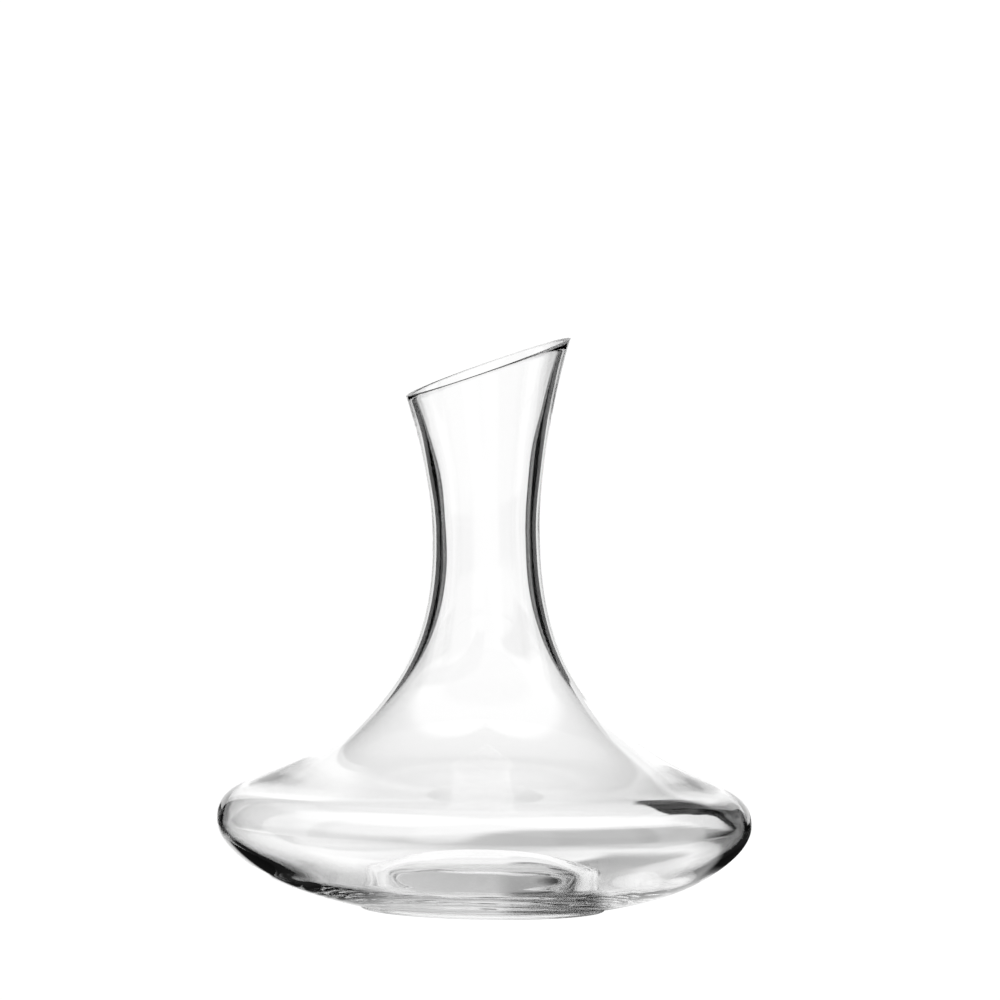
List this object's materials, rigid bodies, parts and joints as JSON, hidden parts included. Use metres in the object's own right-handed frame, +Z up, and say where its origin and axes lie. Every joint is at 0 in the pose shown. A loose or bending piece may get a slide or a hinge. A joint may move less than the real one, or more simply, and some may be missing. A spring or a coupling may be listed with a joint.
{
  "type": "wine decanter",
  "caption": "Clear blown glass wine decanter with a wide low bowl, tall waisted neck, slanted flared mouth, kicked-up base and low foot ring.",
  "frame": {"origin": "centre of the circle on which the foot ring rests, in the plane of the ring's flat underside", "axes": "+Z up through the neck, +X towards the high side of the slanted mouth, +Y to the back"},
  "size_m": [0.219, 0.219, 0.2351],
  "materials": {
    "body_glass": "clear colourless blown glass, fire polished",
    "ring_glass": "clear colourless glass, underside ground fine and worn"
  },
  "bodies": {
    "root": {"blown_body": "body_glass", "foot_ring": "ring_glass"}
  },
  "joints": []
}
